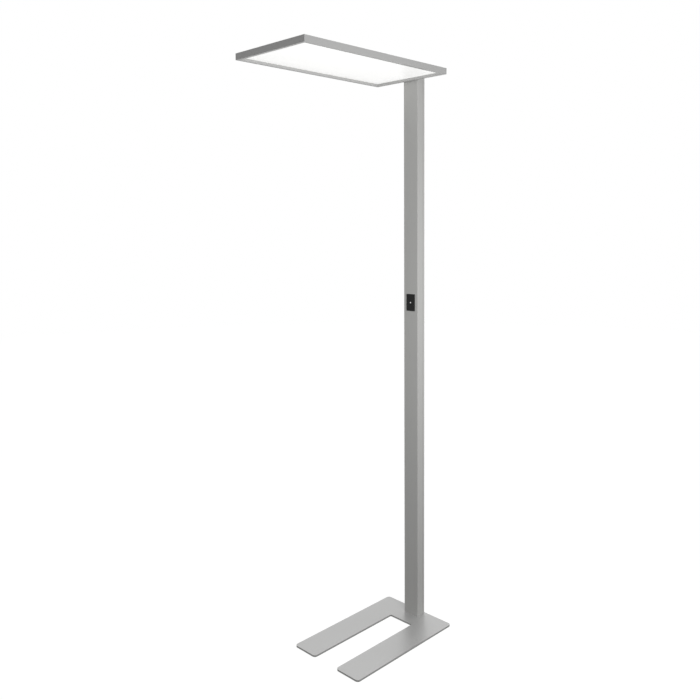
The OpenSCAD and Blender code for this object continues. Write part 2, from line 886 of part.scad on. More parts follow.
module rail_left() {
    color([0.72, 0.72, 0.71])
    difference() {
        translate([head_x1, head_w / 2, head_z0])
            rotate([0, 0, 180])
                rail(head_l);
        cover_screw_holes();
    }
}

module rail_front() {
    color([0.72, 0.72, 0.71])
    difference() {
        translate([head_x1, -head_w / 2, head_z0])
            rotate([0, 0, 90])
                rail(head_w);
        cover_screw_holes();
    }
}

module rail_rear() {
    color([0.72, 0.72, 0.71])
    difference() {
        translate([head_x0, head_w / 2, head_z0])
            rotate([0, 0, -90])
                rail(head_w);
        cover_screw_holes();
        for (s = [-1, 1])
            arm_window(s, head_x0 + rail_wall + ledge_w + over);
        rod_x(head_x0 - over, head_x0 + rail_wall + ledge_w + over, 0, cable_z, grommet_hole_r);
    }
}

// One angle key in each corner's chamber
module corner_keys() {
    z0 = head_z0 + chamber_wall + fit_clear;
    color([0.6, 0.6, 0.62])
    for (sx = [-1, 1], sy = [-1, 1])
        translate([(head_x0 + head_x1) / 2, 0, z0])
            scale([sx, sy, 1])
                translate([head_l / 2 - key_mid, head_w / 2 - key_mid, 0]) {
                    block([-key_leg, -key_w / 2, 0], [key_w / 2, key_w / 2, key_t]);
                    block([-key_w / 2, -key_leg, 0], [key_w / 2, key_w / 2, key_t]);
                }
}

// Flat sheet in the head, set in from the outer faces by the given amount
module head_sheet(in_x, in_y, z0, t) {
    block([head_x0 + in_x, -head_w / 2 + in_y, z0], [head_x1 - in_x, head_w / 2 - in_y, z0 + t]);
}

module diffuser() {
    color([0.97, 0.97, 0.95])
        head_sheet(rail_wall + fit_clear, guide_in, head_z0 + recess, diffuser_t);
}

module light_guide() {
    color([0.85, 0.92, 0.95])
        head_sheet(rail_wall + fit_clear, guide_in, guide_z0, guide_t);
}

module reflector_sheet() {
    color([0.95, 0.95, 0.95])
        head_sheet(rail_wall + fit_clear, guide_in, reflector_z0, reflector_t);
}

module led_strips() {
    color([0.9, 0.9, 0.85])
    for (s = [-1, 1])
        scale([1, s, 1])
            block([head_x0 + strip_end, head_w / 2 - rail_wall - strip_t, strip_z0],
                [head_x1 - strip_end, head_w / 2 - rail_wall, strip_z0 + strip_h]);
}

module led_chips() {
    first_x = head_x0 + head_l / 2 - chips * chip_pitch / 2;
    color([0.95, 0.85, 0.3])
    for (i = [0 : chips], s = [-1, 1])
        translate([first_x + i * chip_pitch, 0, chip_z])
            scale([1, s, 1])
                block([-chip_l / 2, head_w / 2 - rail_wall - strip_t - chip_t, -chip_h / 2],
                    [chip_l / 2, head_w / 2 - rail_wall - strip_t, chip_h / 2]);
}

// Blocks that hold the light's layers down under the top cover
module foam_pads() {
    color([0.3, 0.3, 0.3])
    for (x = foam_x, s = [-1, 1])
        translate([x, s * head_w / 4, stack_z1])
            block([-foam_size.x / 2, -foam_size.y / 2, 0],
                [foam_size.x / 2, foam_size.y / 2, arm_z1 - stack_z1]);
}

module head_connector() {
    color([0.9, 0.9, 0.86])
        block([connector_x0, -connector_size.y / 2, stack_z1],
            [connector_x0 + connector_size.x, connector_size.y / 2, stack_z1 + connector_size.z]);
}

module strip_wires() {
    wire_z = stack_z1 + strip_wire_r + fit_clear;
    color([0.7, 0.1, 0.1])
    for (s = [-1, 1])
        translate([strip_wire_x, s * connector_size.y / 2, wire_z])
            rotate([-s * 90, 0, 0])
                cylinder(h = head_w / 2 - rail_wall - strip_t - connector_size.y / 2, r = strip_wire_r);
}

module top_cover() {
    color([0.70, 0.70, 0.69])
    difference() {
        head_sheet(rail_wall + fit_clear, rail_wall + fit_clear, arm_z1, top_t);
        cover_screw_holes();
        for (x = arm_screw_x, s = [-1, 1])
            translate([x, s * arm_y, head_z1])
                countersunk_hole(small_screw_d, head_z1 - arm_z0 + over, thread_clear);
    }
}

module cover_screws() {
    color([0.6, 0.6, 0.6])
    for (p = cover_screw_at())
        translate([p.x, p.y, head_z1])
            countersunk_screw(small_screw_d, top_t + ledge_t + cover_screw_past);
}

module arm_screws() {
    color([0.6, 0.6, 0.6])
    for (x = arm_screw_x, s = [-1, 1])
        translate([x, s * arm_y, head_z1])
            countersunk_screw(small_screw_d, top_t + arm_t);
}

base_plate();
base_pads();
base_screws();
foot_block();
foot_lock_screws();
column_profile();
rear_cover();
column_cap();
cable_gland();
gland_nut();
driver_tray();
tray_screws();
terminal_block();
terminal_screw();
led_driver();
driver_screws();
mains_wires();
head_cable();
control_wires();
control_panel();
control_box();
control_board();
board_screws();
board_plug();
tact_switch();
button_spring();
push_button();
indicator_dot();
head_carrier();
carrier_screws();
cable_grommet();
rail_front();
rail_rear();
rail_left();
rail_right();
corner_keys();
diffuser();
light_guide();
reflector_sheet();
led_strips();
led_chips();
foam_pads();
head_connector();
strip_wires();
top_cover();
cover_screws();
arm_screws();
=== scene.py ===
"""Office floor lamp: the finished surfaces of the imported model, its studio and its camera."""
import math

import bmesh
import bpy
from bpy.props import FloatProperty, FloatVectorProperty, PointerProperty
from bpy.types import Operator, Panel, PropertyGroup
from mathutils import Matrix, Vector


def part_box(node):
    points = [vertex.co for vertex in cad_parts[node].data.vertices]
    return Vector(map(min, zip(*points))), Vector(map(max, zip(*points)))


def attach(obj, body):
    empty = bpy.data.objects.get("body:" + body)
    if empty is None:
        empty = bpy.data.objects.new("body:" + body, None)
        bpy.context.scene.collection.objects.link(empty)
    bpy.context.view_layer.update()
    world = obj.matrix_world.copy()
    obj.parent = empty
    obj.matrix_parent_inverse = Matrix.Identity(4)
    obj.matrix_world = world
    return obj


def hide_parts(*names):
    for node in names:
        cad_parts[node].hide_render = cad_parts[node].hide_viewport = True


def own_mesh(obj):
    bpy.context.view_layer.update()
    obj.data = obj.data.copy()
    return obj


bl_info = {
    "name": "Office floor lamp",
    "version": (1, 0, 0),
    "blender": (4, 5, 0),
    "location": "3D View > Sidebar > Floor lamp",
    "description": "Builds the visible pieces of a forked-base office floor lamp and its studio",
    "category": "Object",
}

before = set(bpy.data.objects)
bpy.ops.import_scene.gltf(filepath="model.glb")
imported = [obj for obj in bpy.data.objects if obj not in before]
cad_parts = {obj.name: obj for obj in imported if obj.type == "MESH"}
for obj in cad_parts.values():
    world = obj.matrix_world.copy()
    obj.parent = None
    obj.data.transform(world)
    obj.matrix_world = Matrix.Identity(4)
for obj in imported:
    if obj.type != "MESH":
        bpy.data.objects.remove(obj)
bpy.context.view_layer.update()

MM = 0.001
BODY = "lamp"
KEY_BODY = "button"
# A cutter reaches this far past the faces that it cuts through
PAST = 2 * MM
# Two places closer than this are taken as the same one
NEAR = 0.02 * MM
# Clearance round what passes through a hole or a window
GAP = 0.2 * MM
# A face looks along an axis when its normal's share of that axis is past this
FACING = 0.9
# Joined solids reach this far into each other
OVERLAP = 1 * MM
# Right and left of the lamp's middle plane
SIDES = (-1, 1)
# Rounds on small edges: of an extrusion, of a thin plate and of a small moulding
CUT_ROUND = 0.2 * MM
PLATE_ROUND = 0.25 * MM
MOULD_ROUND = 0.3 * MM


# ---- What a user would change -------------------------------------------------


def length(name, description, default_mm):
    """A length property, given in millimetres."""
    return FloatProperty(name=name, description=description, default=default_mm * MM, min=0,
                         unit="LENGTH")


def colour(name, description, default):
    """A colour property."""
    return FloatVectorProperty(name=name, description=description, default=default,
                               subtype="COLOR", size=3, min=0, max=1)


def amount(name, description, default, top=1.0):
    """A plain number property from 0 to top."""
    return FloatProperty(name=name, description=description, default=default, min=0, max=top)


def point(name, description, default):
    """A point in the lamp's frame, in metres."""
    return FloatVectorProperty(name=name, description=description, default=default, size=3,
                               subtype="TRANSLATION")


def angle(name, description, default):
    """An angle property, in radians."""
    return FloatProperty(name=name, description=description, default=default, subtype="ANGLE")


class LampSizes(PropertyGroup):
    """Sizes that the frame's boxes don't give."""
    base_corner: length("Base corner", "Radius of the base plate's outer corners", 11)
    slot_width: length("Slot width", "Width of the slot between the prongs", 100)
    slot_back: length("Slot start", "Distance from the plate's back edge to the slot", 99)
    slot_corner: length("Slot corner", "Radius of the slot's inner corners", 4)
    plate_edge: length("Plate edge", "Round on the edges of the base plate", 0.6)
    pad_inset: length("Pad inset", "Distance from the plate's edges to a pad's centre", 22)
    pad_width: length("Pad width", "Diameter of a rubber pad", 22)
    pad_rim: length("Pad rim", "Width of the rim round a pad's foot", 2.2)
    pad_ring: length("Pad ring", "Width of the ring inside that rim", 1.2)
    pad_dish: length("Pad dish", "Depth of the dish inside that ring", 0.35)
    base_screw: length("Base screw", "Thread diameter of the screws in the base", 6)
    base_screw_play: length("Base screw play", "Gap round those screws", 0.4)
    column_edge: length("Column edge", "Radius of the column's long edges", 1.5)
    column_wall: length("Column wall", "Wall of the extrusion", 2.5)
    cover_wall: length("Cover wall", "Wall of the rear cover", 2)
    seam: length("Seam", "Gap between the extrusion and the rear cover", 0.8)
    lip: length("Lip", "Width of the lips at the back of the extrusion", 4)
    box_hook: length("Box hook", "How far the control box's hooks stand out", 1.5)
    cap_edge: length("Cap edge", "Round on the edges of the cap", 0.4)
    cap_rim: length("Cap rim", "Width of the rim round the cap's dish", 2.5)
    cap_ring: length("Cap ring", "Width of the ring inside that rim", 0.5)
    cap_dish: length("Cap dish", "Depth of the dish", 0.4)
    leg_thick: length("Leg thickness", "Thickness of the cap's legs", 2)
    leg_back: length("Leg back", "Distance from the column's back to a leg", 15)
    leg_front: length("Leg front", "Distance from the column's back to a leg's front", 26)
    arm_thick: length("Arm thickness", "Thickness of the carrier's arms in the head", 3)
    arm_gap: length("Arm gap", "Distance between the carrier's arms", 16)
    gland_width: length("Gland width", "Diameter of the gland's threaded body", 16)
    gland_bore: length("Gland bore", "Diameter of the gland's bore", 8)
    gland_flange: length("Gland flange", "Thickness of the gland's flange", 2.5)
    gland_rib: length("Gland rib", "Margin of each groove in the flange's rim", 0.35)
    rail_wall: length("Rail wall", "Outer wall of a frame rail", 2)
    border: length("Border", "Width of the border round the light", 10)
    recess: length("Recess", "Depth of the diffuser behind the border", 8.5)
    light_rim: length("Light rim", "Width of the diffuser's rim above the border", 10.5)
    ledge: length("Ledge", "Width of the ledge under the lid", 6)
    ledge_thick: length("Ledge thickness", "Thickness of the ledge", 1.5)
    rail_edge: length("Rail edge", "Round on the edges of a rail", 0.35)
    lid_thick: length("Lid thickness", "Thickness of the lid", 1.5)
    lid_screw: length("Lid screw", "Thread diameter of the screws in the lid", 3)
    lid_screw_play: length("Lid screw play", "Gap round those screws", 0.1)
    lid_screw_end: length("Lid screw end", "Distance from a rail's end to its first screw", 45)
    panel_corner: length("Panel corner", "Radius of the control panel's corners", 1.5)
    key_width: length("Key width", "Diameter of the push button", 14)
    key_gap: length("Key gap", "Gap round the push button", 0.2)
    key_rim: length("Key rim", "Width of the rim round the button's dish", 0.9)
    key_dish: length("Key dish", "Depth of that dish", 0.15)
    key_flange: length("Key flange", "How far the flange behind the button stands out", 1.6)
    key_flange_thick: length("Key flange thickness", "Thickness of that flange", 1.2)
    key_stem: length("Key stem", "Diameter of the stem behind the flange", 3.5)
    key_stem_long: length("Stem length", "Length of that stem", 1.4)
    key_travel: length("Key travel", "How far the push button goes in", 0.8)
    dot_width: length("Dot width", "Diameter of the light dot", 5)
    dot_rim: length("Dot rim", "Width of the dot's rim", 0.5)
    dot_pocket: length("Dot pocket", "Depth of the button's pocket for the dot", 2.9)
    dot_play: length("Dot play", "Gap round the dot", 0.1)


class LampFinishes(PropertyGroup):
    """Colours of the surfaces, and the light's level."""
    base_coat: colour("Base coat", "Powder coat of the base plate", (0.59, 0.59, 0.585))
    # Painted shade: plate_edge is a darker coat on the base plate's edges that stands in for the
    # shade along them
    plate_edge: colour("Plate edge", "Coat on the cut edges of the base plate", (0.30, 0.30, 0.295))
    column_coat: colour("Column coat", "Satin coat of the column", (0.475, 0.475, 0.463))
    frame_coat: colour("Frame coat", "Satin coat of the head's frame", (0.467, 0.467, 0.462))
    black: colour("Black", "Plastic of the control panel", (0.018, 0.018, 0.018))
    dot: colour("Dot", "Light dot in the push button", (0.95, 0.95, 0.94))
    gland: colour("Gland", "Plastic of the cord gland", (0.02, 0.02, 0.021))
    opal: colour("Opal", "The diffuser without its light", (0.86, 0.86, 0.85))
    light: colour("Light", "Colour of the lit diffuser", (1.0, 1.0, 0.99))
    light_level: amount("Light level", "Brightness of the lit diffuser", 0.47, top=5)
    rubber: colour("Rubber", "Pads and grommet", (0.035, 0.035, 0.036))
    steel: colour("Steel", "Zinc-plated screws", (0.62, 0.62, 0.63))


class StudioSettings(PropertyGroup):
    """Camera, backdrop, floor and softbox."""
    camera_place: point("Camera place", "Where the camera stands", (1.7439, 1.7247, 1.4108))
    camera_heading: angle("Camera heading", "Direction of view from +X", 3.92478)
    camera_pitch: angle("Camera pitch", "Tilt of the view above the horizon", -0.079560)
    camera_roll: angle("Camera roll", "Turn about the line of sight", -0.0072181)
    focal_length: FloatProperty(name="Focal length", description="For the width of the sensor",
                                default=38.701, unit="CAMERA")
    sensor_width: FloatProperty(name="Sensor", description="Width of the sensor", default=36,
                                unit="CAMERA")
    lens_shift: FloatProperty(name="Shift", default=-58.99 / 700,
                              description="Vertical shift of the lens, as a share of the picture")
    backdrop_front: amount("Backdrop front", "Level of the surroundings on the whole", 0.35)
    backdrop_slant: amount("Backdrop slant", "How much lighter they are to the lamp's left", 0.02)
    backdrop_behind: amount("Backdrop behind", "How much lighter they are behind the lamp", 0.62)
    behind_slant: amount("Behind slant", "How much that grows to the lamp's left", 3, top=5)
    backdrop_top: amount("Backdrop top", "How much lighter they are overhead", 0.04)
    floor_radius: length("Floor radius", "Radius of the floor", 9000)
    floor_white: amount("Floor white", "Share of plain white in the floor's look", 0.86)
    floor_glow: amount("Floor glow", "Level of that plain white", 1.1, top=2)
    floor_pale: amount("Pale floor", "How much light the rest of that look gives back", 0.9)
    floor_near: amount("Near floor", "How much light the floor round the lamp gives back", 0.2)
    floor_far: amount("Far floor", "How much light the far floor gives back", 0.8)
    floor_near_reach: length("Near reach", "Where the far floor begins", 3000)
    softbox_power: FloatProperty(name="Softbox", description="Power of the softbox", default=11.8,
                                 min=0, unit="POWER")
    softbox_width: length("Softbox width", "Side of the square softbox", 700)
    softbox_place: point("Softbox place", "Where the softbox hangs", (0.30, 1.12, 1.22))
    softbox_aim: point("Softbox aim", "What the softbox points at", (-0.2, 0, 1.2))


# ---- Modelling by hand --------------------------------------------------------


def clear_selection():
    """Leaves edit mode and deselects everything."""
    if bpy.context.object and bpy.context.object.mode != "OBJECT":
        bpy.ops.object.mode_set(mode="OBJECT")
    bpy.ops.object.select_all(action="DESELECT")


def take(piece):
    """Makes piece the only selected and the active object."""
    clear_selection()
    piece.select_set(True)
    bpy.context.view_layer.objects.active = piece


def settle(piece, name=None):
    """Moves the object's place and turn into its mesh."""
    take(piece)
    bpy.ops.object.transform_apply(location=True, rotation=True, scale=True)
    if name:
        piece.name = name
        piece.data.name = name
    return piece


def box(name, low, high):
    """A cube primitive between two corners."""
    low, high = Vector(low), Vector(high)
    clear_selection()
    bpy.ops.mesh.primitive_cube_add(size=1, location=(low + high) / 2, scale=high - low)
    return settle(bpy.context.object, name)


def rod(name, centre, radius, depth, axis="Z", sides=64, radius_end=None):
    """A cylinder primitive, or a cone's stump, round an axis."""
    turn = (0, math.pi / 2, 0) if axis == "X" else (0, 0, 0)
    clear_selection()
    if radius_end is None:
        bpy.ops.mesh.primitive_cylinder_add(vertices=sides, radius=radius, depth=depth,
                                            location=centre, rotation=turn)
    else:
        bpy.ops.mesh.primitive_cone_add(vertices=sides, radius1=radius, radius2=radius_end,
                                        depth=depth, location=centre, rotation=turn)
    return settle(bpy.context.object, name)


def lying_rod(name, back, front, height, radius, sides=64):
    """A cylinder along X between two places, at a height in the lamp's middle plane."""
    return rod(name, ((back + front) / 2, 0, height), radius, front - back, axis="X", sides=sides)


def edit(piece):
    """Opens piece in edit mode."""
    take(piece)
    bpy.ops.object.mode_set(mode="EDIT")


def close():
    """Back to object mode."""
    bpy.ops.object.mode_set(mode="OBJECT")


def select_all(action="SELECT"):
    """Selects or deselects the whole mesh."""
    bpy.ops.mesh.select_all(action=action)


def pick_faces(piece, test):
    """Selects the faces whose middle and normal pass the test."""
    bpy.ops.mesh.select_mode(type="FACE")
    select_all("DESELECT")
    mesh = bmesh.from_edit_mesh(piece.data)
    for face in mesh.faces:
        if test(face.calc_center_median(), face.normal):
            face.select_set(True)
    bmesh.update_edit_mesh(piece.data)


def pick_edges(piece, test):
    """Selects the edges whose two ends pass the test."""
    bpy.ops.mesh.select_mode(type="EDGE")
    select_all("DESELECT")
    mesh = bmesh.from_edit_mesh(piece.data)
    for edge in mesh.edges:
        if test(edge.verts[0].co, edge.verts[1].co):
            edge.select_set(True)
    bmesh.update_edit_mesh(piece.data)


def is_along(a, b, axis):
    """Whether the edge from a to b runs along the axis with that number."""
    straight = 0.999
    return abs((b - a).normalized()[axis]) > straight


def push(x=0, y=0, z=0):
    """Extrudes what is selected by an offset."""
    bpy.ops.mesh.extrude_region_move(TRANSFORM_OT_translate={"value": (x, y, z)})


def inset(width):
    """Insets the selected faces."""
    bpy.ops.mesh.inset(thickness=width)


def bevel(width, segments):
    """Rounds the selected edges."""
    bpy.ops.mesh.bevel(offset=width, segments=segments, affect="EDGES")


def widen(ratio, centre):
    """Scales what is selected across X, about a centre."""
    bpy.ops.transform.resize(value=(1, ratio, ratio), center_override=centre)


def slice_at(point, normal, drop_behind=False):
    """Bisects the whole mesh, and with drop_behind removes and closes what is behind the plane."""
    select_all()
    bpy.ops.mesh.bisect(plane_co=point, plane_no=normal, use_fill=drop_behind,
                        clear_inner=drop_behind)


def drop_flat_edges():
    """Dissolves the edges between faces of one plane."""
    select_all()
    bpy.ops.mesh.dissolve_limited(angle_limit=math.radians(1))


def with_modifier(piece, kind, **settings):
    """Adds a modifier, sets it and applies it."""
    modifier = piece.modifiers.new(kind.title(), kind)
    for key, value in settings.items():
        setattr(modifier, key, value)
    take(piece)
    bpy.ops.object.modifier_apply(modifier=modifier.name)


def thicken(piece, wall):
    """Gives an open shell a wall that grows inwards."""
    with_modifier(piece, "SOLIDIFY", thickness=wall, offset=-1, use_even_offset=True)


def join(pieces, name):
    """Joins pieces into the first one."""
    clear_selection()
    for piece in pieces:
        piece.select_set(True)
    bpy.context.view_layer.objects.active = pieces[0]
    if len(pieces) > 1:
        bpy.ops.object.join()
    pieces[0].name = name
    pieces[0].data.name = name
    return pieces[0]


def cut(piece, cutters):
    """Takes the cutters out of piece, and deletes them."""
    cutter = join(cutters, "cutter")
    with_modifier(piece, "BOOLEAN", operation="DIFFERENCE", solver="EXACT", object=cutter)
    bpy.data.objects.remove(cutter)


def shade_smooth(piece, degrees):
    """Smooth shading over the edges that bend by less than an angle."""
    take(piece)
    bpy.ops.object.shade_smooth_by_angle(angle=math.radians(degrees))


def soften(piece, width, segments=3):
    """Rounds every sharp edge and shades the rounds smooth."""
    with_modifier(piece, "BEVEL", width=width, segments=segments, limit_method="ANGLE",
                  angle_limit=math.radians(40), use_clamp_overlap=True, harden_normals=False)
    shade_smooth(piece, degrees=38)
    with_modifier(piece, "WEIGHTED_NORMAL", keep_sharp=True)


def copy_of(piece, name):
    """A copy with a mesh of its own."""
    twin = piece.copy()
    twin.data = piece.data.copy()
    bpy.context.scene.collection.objects.link(twin)
    twin.name = name
    return twin


def repeat(piece, places, name):
    """Copies of piece moved to each place, joined into one; piece itself is used up."""
    twins = []
    for place in places:
        twin = copy_of(piece, name)
        twin.location = place
        twins.append(settle(twin))
    bpy.data.objects.remove(piece)
    return join(twins, name)


def finish(piece, material, nodes, body=BODY):
    """Gives piece its material, its body and the CAD nodes that it stands for."""
    piece.data.materials.clear()
    piece.data.materials.append(material)
    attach(piece, body)
    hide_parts(*nodes)


def second_finish(piece, material, test):
    """Gives the faces that pass the test a second material."""
    piece.data.materials.append(material)
    edit(piece)
    pick_faces(piece, test)
    piece.active_material_index = 1
    bpy.ops.object.material_slot_assign()
    close()


# ---- Shader recipes ------------------------------------------------------------


class Wire:
    """An output socket that takes part in Python arithmetic; each operator adds a Math node."""

    def __init__(self, tree, socket):
        self.tree = tree
        self.socket = socket

    def _math(self, operation, *terms):
        node = self.tree.nodes.new("ShaderNodeMath")
        node.operation = operation
        for place, term in enumerate(terms):
            if isinstance(term, Wire):
                self.tree.links.new(term.socket, node.inputs[place])
            else:
                node.inputs[place].default_value = term
        return Wire(self.tree, node.outputs[0])

    def __add__(self, other):
        return self._math("ADD", self, other)

    __radd__ = __add__

    def __sub__(self, other):
        return self._math("SUBTRACT", self, other)

    def __rsub__(self, other):
        return self._math("SUBTRACT", other, self)

    def __mul__(self, other):
        return self._math("MULTIPLY", self, other)

    __rmul__ = __mul__

    def __truediv__(self, other):
        return self._math("DIVIDE", self, other)

    def __rtruediv__(self, other):
        return self._math("DIVIDE", other, self)

    def __abs__(self):
        return self._math("ABSOLUTE", self)

    def least(self, other):
        """The smaller of the two."""
        return self._math("MINIMUM", self, other)

    def most(self, other):
        """The larger of the two."""
        return self._math("MAXIMUM", self, other)

    def held(self):
        """The value kept between 0 and 1."""
        return self.most(0.0).least(1.0)


class Recipe:
    """One node tree under construction."""

    def __init__(self, tree):
        self.tree = tree
        tree.nodes.clear()

    def add(self, kind, settings=None, inputs=None, output=0):
        """Adds any node: first its settings, then values or wires by a socket's name or number."""
        node = self.tree.nodes.new(kind)
        for key, value in (settings or {}).items():
            setattr(node, key, value)
        for key, value in (inputs or {}).items():
            if isinstance(value, Wire):
                self.tree.links.new(value.socket, node.inputs[key])
            else:
                node.inputs[key].default_value = value
        return Wire(self.tree, node.outputs[output]) if len(node.outputs) else None

    def place(self):
        """Object coordinates, which are the frame's own."""
        return self.add("ShaderNodeTexCoord", output="Object")

    def stretched(self, scale):
        """Object coordinates with a scale for each axis."""
        return self.add("ShaderNodeMapping", inputs={"Vector": self.place(), "Scale": scale})

    def axes(self, vector):
        """X, Y and Z of a vector."""
        x = self.add("ShaderNodeSeparateXYZ", inputs={0: vector})
        return [Wire(self.tree, out) for out in x.socket.node.outputs]

    def noise(self, scale, detail=2.0, vector=None, roughness=0.5):
        """Noise from 0 to 1, about 0.5 on average."""
        return self.add("ShaderNodeTexNoise", inputs={
            "Vector": vector or self.place(), "Scale": scale, "Detail": detail,
            "Roughness": roughness})

    def ripple(self, *noise, **more):
        """Noise from -0.5 to 0.5."""
        return self.noise(*noise, **more) - 0.5

    def tint(self, shade, level):
        """A colour made lighter or darker by a wire about 1."""
        return self.add("ShaderNodeVectorMath", {"operation": "SCALE"}, {
            0: tuple(shade), "Scale": level})

    def bump(self, height, depth_mm, strength):
        """A normal that follows height, with a depth in millimetres."""
        return self.add("ShaderNodeBump", inputs={
            "Height": height, "Distance": depth_mm * MM, "Strength": strength})

    def mix(self, share, first, second):
        """Two shaders mixed; share 1 is all of the second."""
        return self.add("ShaderNodeMixShader", inputs={0: share, 1: first, 2: second})

    def looked_at(self):
        """1 for rays that the eye follows: straight, mirrored or through glass."""
        camera, glossy, through = [self.add("ShaderNodeLightPath", output=kind) for kind in (
            "Is Camera Ray", "Is Glossy Ray", "Is Transmission Ray")]
        return (camera + glossy + through).held()


def material(name, build):
    """A material whose surface is what build makes of a Recipe, or the one already made."""
    made = bpy.data.materials.get(name)
    if made:
        return made
    made = bpy.data.materials.new(name)
    made.use_nodes = True
    recipe = Recipe(made.node_tree)
    surface = recipe.add("ShaderNodeBsdfPrincipled", inputs=build(recipe))
    recipe.add("ShaderNodeOutputMaterial", inputs={"Surface": surface})
    return made


def grey(level):
    """A grey with its alpha."""
    return (level, level, level, 1.0)


def satin_coat(name, rgb, metallic, roughness):
    """Silver powder coat: fine metal flakes, a slight orange peel and faint clouding."""
    def build(recipe):
        flakes = recipe.ripple(1700, 3.0, roughness=0.7)
        clouds = recipe.ripple(5, 2.0)
        smudges = recipe.ripple(38, 3.0)
        level = 1 + flakes * 0.16 + clouds * 0.05
        peel = recipe.noise(520, 2.0)
        return {
            "Base Color": recipe.tint(rgb, level),
            "Metallic": metallic,
            "Roughness": (roughness + smudges * 0.07 + flakes * 0.10).held(),
            "Normal": recipe.bump(peel, 0.02, 0.5),
        }
    return material(name, build)


def extruded_coat(name, rgb, roughness, along):
    """Satin coat over an extrusion: die lines that run along one axis, under fine flakes."""
    squeeze = [1.0, 1.0, 1.0]
    squeeze[along] = 0.004

    def build(recipe):
        lines = recipe.ripple(900, 3.0, vector=recipe.stretched(tuple(squeeze)))
        flakes = recipe.ripple(1700, 3.0, roughness=0.7)
        clouds = recipe.ripple(4, 2.0)
        level = 1 + flakes * 0.14 + lines * 0.035 + clouds * 0.04
        return {
            "Base Color": recipe.tint(rgb, level),
            "Roughness": (roughness + lines * 0.05 + flakes * 0.08).held(),
            "Normal": recipe.bump(lines, 0.012, 0.35),
        }
    return material(name, build)


def moulded(name, rgb, roughness, grain=900, depth_mm=0.03, coat=0.0):
    """Moulded plastic or rubber: its colour, roughness, the scale of its grain and its depth."""
    def build(recipe):
        grains = recipe.noise(grain, 3.0)
        mottle = (grains - 0.5) * 0.12
        clouds = recipe.ripple(30, 2.0)
        return {
            "Base Color": recipe.tint(rgb, 1 + mottle + clouds * 0.08),
            "Roughness": (roughness + mottle + clouds * 0.05).held(),
            "Coat Weight": coat,
            "Normal": recipe.bump(grains, depth_mm, 0.6),
        }
    return material(name, build)


def gloss_black(name, rgb):
    """Smooth black plastic with faint hairlines."""
    def build(recipe):
        hairlines = recipe.noise(260, 4.0, vector=recipe.stretched((1.0, 0.05, 1.0)))
        haze = recipe.ripple(45, 3.0)
        return {
            "Base Color": recipe.tint(rgb, 1 + haze * 0.25),
            "Roughness": (0.12 + (hairlines - 0.5) * 0.05 + haze * 0.05).held(),
            "Specular IOR Level": 0.12,
            "Normal": recipe.bump(hairlines, 0.002, 0.3),
        }
    return material(name, build)


def plated_steel(name, rgb, roughness=0.34):
    """Zinc-plated steel with a faint grain and dull patches."""
    def build(recipe):
        grain = recipe.ripple(1300, 3.0)
        patches = recipe.ripple(120, 3.0)
        return {
            "Base Color": recipe.tint(rgb, 1 + grain * 0.10 + patches * 0.12),
            "Metallic": 0.9,
            "Roughness": (roughness + grain * 0.10 + patches * 0.12).held(),
            "Normal": recipe.bump(grain, 0.01, 0.4),
        }
    return material(name, build)


def pad_rubber(finishes):
    """Rubber of the pads and the grommet."""
    return moulded("pad_rubber", finishes.rubber, 0.75, 600, 0.08)


def zinc_plate(finishes):
    """Zinc plate of the screws and the sheet-metal parts."""
    return plated_steel("zinc_plate", finishes.steel)


def lit_opal(name, rgb, light, level):
    """Opal sheet lit from its edges: even in the middle, dimmer at the border and in one corner."""
    low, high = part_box("diffuser")
    middle = (low + high) / 2
    half = (high - low) / 2
    border_fade = 14 * MM
    border_loss = 0.24
    corner_loss = 0.06

    def build(recipe):
        x, y, _ = recipe.axes(recipe.place())
        inside = (half.x - abs(x - middle.x)).least(half.y - abs(y - middle.y))
        edge = (1 - inside / border_fade).held()
        corner = ((middle.x - x) / half.x).held() * ((y - middle.y) / half.y).held()
        prisms = recipe.ripple(700, 2.0)
        glow = 1 - edge * edge * border_loss - corner * corner_loss + prisms * 0.01
        return {
            "Base Color": recipe.tint(rgb, 1 + prisms * 0.03),
            "Roughness": (0.42 + prisms * 0.1).held(),
            "Emission Color": recipe.tint(light, glow),
            "Emission Strength": level,
            "Normal": recipe.bump(prisms, 0.02, 0.4),
        }
    return material(name, build)


def circuit_board(name):
    """Green board with lighter tracks under the mask."""
    def build(recipe):
        tracks = recipe.add("ShaderNodeTexBrick", inputs={
            "Vector": recipe.place(), "Scale": 260.0, "Mortar Size": 0.04,
            "Color1": grey(0), "Color2": grey(0), "Mortar": grey(1)}, output="Fac")
        mask = recipe.ripple(300, 2.0)
        return {
            "Base Color": recipe.tint((0.02, 0.11, 0.05), 1 + tracks * 0.9 + mask * 0.2),
            "Roughness": (0.32 + mask * 0.1).held(),
            "Normal": recipe.bump(tracks, 0.03, 0.5),
        }
    return material(name, build)


# ---- The visible pieces --------------------------------------------------------


def settings_of(context):
    """The scene's sizes and finishes."""
    return context.scene.lamp_sizes, context.scene.lamp_finishes


def countersunk_screw(name, size, total):
    """A screw along -Z with its head's top at the origin and a hexagon socket in it."""
    head = size / 2
    screw = rod(name, (0, 0, -head / 2), size / 2, head, sides=40, radius_end=size)
    edit(screw)
    pick_faces(screw, lambda c, n: n.z < -FACING)
    push(z=head - total)
    close()
    cut(screw, [rod("socket", (0, 0, 0), radius=size * 0.48, depth=size * 0.7, sides=6)])
    soften(screw, width=size * 0.03, segments=2)
    return screw


def screw_places(node, head_radius, columns=2):
    """Centres of a node's screws, in two rows, whose heads reach the edges of its box."""
    low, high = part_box(node)
    first, last = low.x + head_radius, high.x - head_radius
    xs = [first + (last - first) * step / (columns - 1) for step in range(columns)]
    return [(x, y) for x in xs for y in (low.y + head_radius, high.y - head_radius)]


